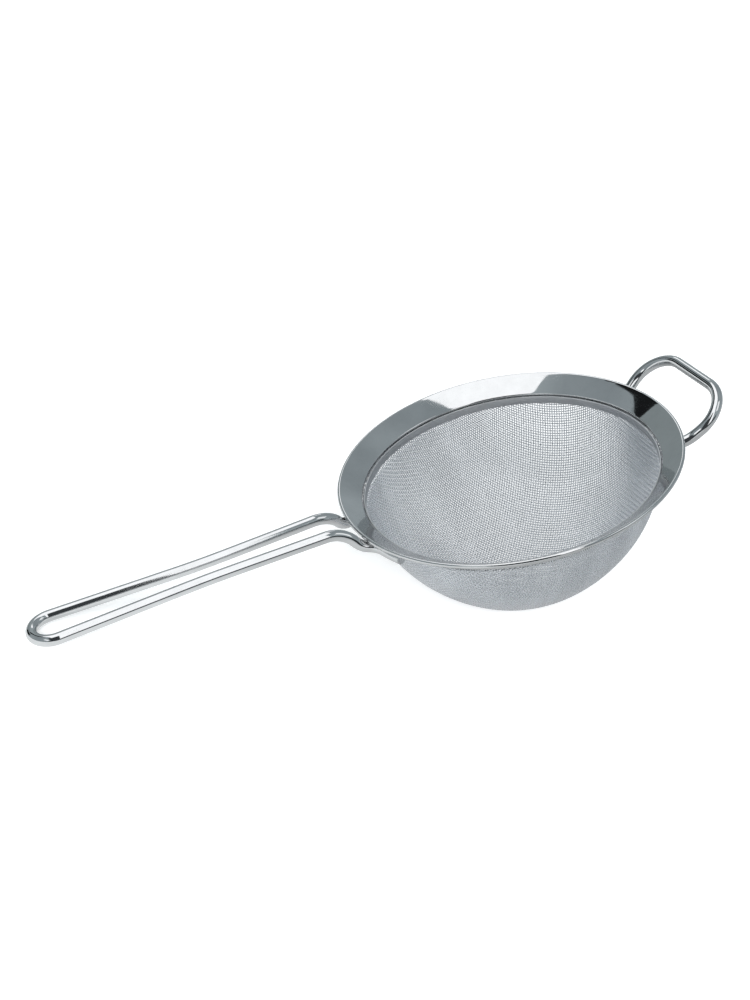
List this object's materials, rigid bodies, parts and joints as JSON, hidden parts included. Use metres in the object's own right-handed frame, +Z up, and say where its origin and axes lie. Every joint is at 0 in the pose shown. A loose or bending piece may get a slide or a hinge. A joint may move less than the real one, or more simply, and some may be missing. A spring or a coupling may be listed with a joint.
{
  "type": "tea strainer",
  "caption": "Hand-held tea strainer: deep woven wire bowl in a polished conical steel rim, with a hairpin wire handle and an opposite wire loop that rests on a cup.",
  "frame": {"origin": "on the table surface, under the middle of the overall length and on the centre line; the strainer lies as it is put down, on the bottom of the bowl and the tip of the handle", "axes": "+X from the handle towards the rest loop, +Z up from the table; the rim leans 20.1 degrees down towards the handle; the XZ plane is the plane of symmetry"},
  "size_m": [0.1808, 0.092, 0.0653],
  "materials": {
    "polished_steel": "mirror-polished stainless steel",
    "satin_steel": "satin stainless steel",
    "wire_cloth": "plain-woven fine stainless wire",
    "weld_bead": "dull grey weld metal"
  },
  "bodies": {
    "root": {"rim_band": "polished_steel", "clamp_ring": "satin_steel", "mesh_bowl": "wire_cloth", "handle_wire": "polished_steel", "rest_loop_wire": "polished_steel", "handle_weld_far": "weld_bead", "handle_weld_near": "weld_bead", "loop_weld_far": "weld_bead", "loop_weld_near": "weld_bead"}
  },
  "joints": []
}
